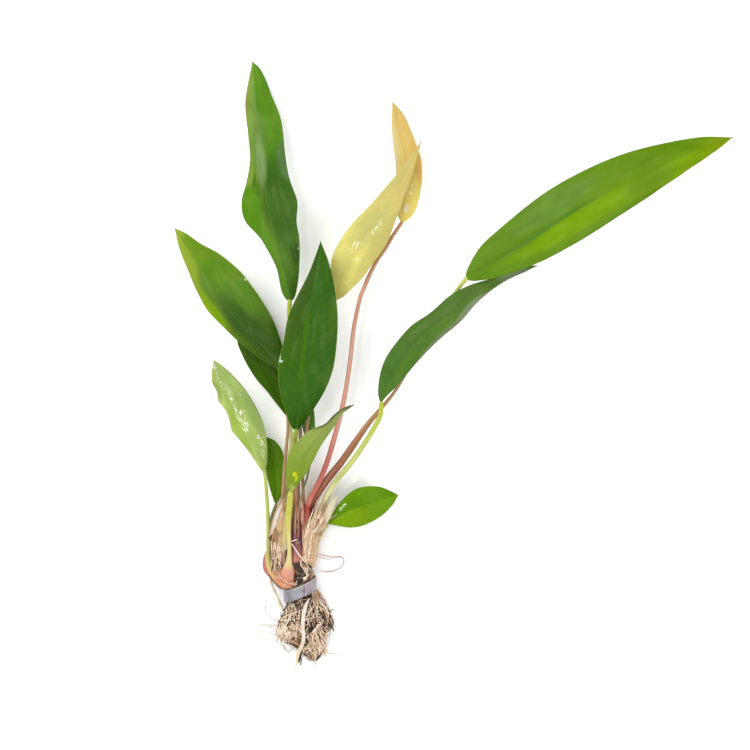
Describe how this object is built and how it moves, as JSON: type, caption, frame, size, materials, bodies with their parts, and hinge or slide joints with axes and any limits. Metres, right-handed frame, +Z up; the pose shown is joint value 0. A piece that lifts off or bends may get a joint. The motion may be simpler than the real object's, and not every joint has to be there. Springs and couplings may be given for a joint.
{
  "type": "anubias plant",
  "caption": "Bare-rooted aquarium plant lying down: long narrow leaves on thin stems, a short crown, tangled roots and a metal strip wound round them as a weight.",
  "frame": {"origin": "middle of the whole plant's box, on the surface that it lies on", "axes": "+Z up off the surface, +Y the way most of the leaves point, away from the roots, +X the side that the longest leaf leans to"},
  "size_m": [0.2521, 0.277, 0.0319],
  "materials": {
    "leaf_green": "satin",
    "leaf_dark": "satin",
    "leaf_fresh": "satin",
    "leaf_pale": "satin",
    "leaf_yellow": "satin",
    "leaf_orange": "satin",
    "stem_green": "satin",
    "stem_brown": "satin",
    "stem_tan": "satin",
    "stem_salmon": "satin",
    "crown": "satin",
    "root": "matte",
    "metal": "matte"
  },
  "bodies": {
    "root": {"blade_tall": "leaf_green", "stem_tall": "stem_brown", "blade_left": "leaf_green", "stem_left": "stem_green", "blade_front": "leaf_dark", "stem_front": "stem_green", "blade_hidden_left": "leaf_dark", "stem_hidden_left": "stem_green", "blade_hidden_middle": "leaf_dark", "stem_hidden_middle": "stem_green", "blade_pale_underside": "leaf_pale", "stem_pale_underside": "stem_green", "blade_small_dark": "leaf_dark", "stem_small_dark": "stem_green", "blade_pale_centre": "leaf_pale", "stem_pale_centre": "stem_green", "blade_yellow": "leaf_yellow", "stem_yellow": "stem_tan", "blade_orange": "leaf_orange", "stem_orange": "stem_salmon", "blade_long_right": "leaf_green", "stem_long_right": "stem_brown", "blade_folded_right": "leaf_dark", "stem_folded_right": "stem_green", "blade_small_right": "leaf_fresh", "stem_small_right": "stem_green", "crown": "crown", "weight_strip": "metal", "root_mass": "root", "root_front": "root", "root_left": "root", "root_right": "root", "root_loop": "root"}
  },
  "joints": []
}
